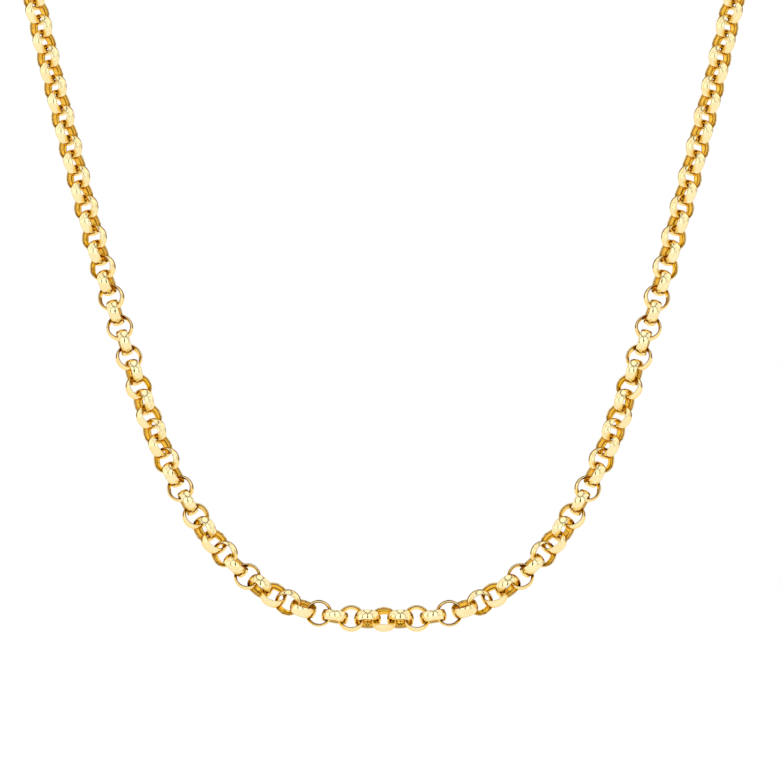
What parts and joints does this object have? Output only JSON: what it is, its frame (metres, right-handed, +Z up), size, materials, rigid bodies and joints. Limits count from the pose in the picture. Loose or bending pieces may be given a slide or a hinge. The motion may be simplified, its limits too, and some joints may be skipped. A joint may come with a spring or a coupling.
{
  "type": "rolo chain necklace",
  "caption": "Gold-coloured rolo chain necklace of round, domed band links that interlock in a closed loop, hanging as worn, with a plain ring clasp at the nape.",
  "frame": {"origin": "on the skin of the nape, in the mirror plane, where the inner side of the closed loop rests behind the neck", "axes": "+Z up as worn, -Y towards the chest side that the picture shows, +X to the right as seen from that side, and the mirror plane at X = 0"},
  "size_m": [0.139, 0.1151, 0.1627],
  "materials": {
    "link_gold": "polished yellow gold",
    "clasp_gold": "polished yellow gold"
  },
  "bodies": {
    "root": {"chest_chain": "link_gold", "nape_chain": "link_gold", "clasp": "clasp_gold"}
  },
  "joints": []
}
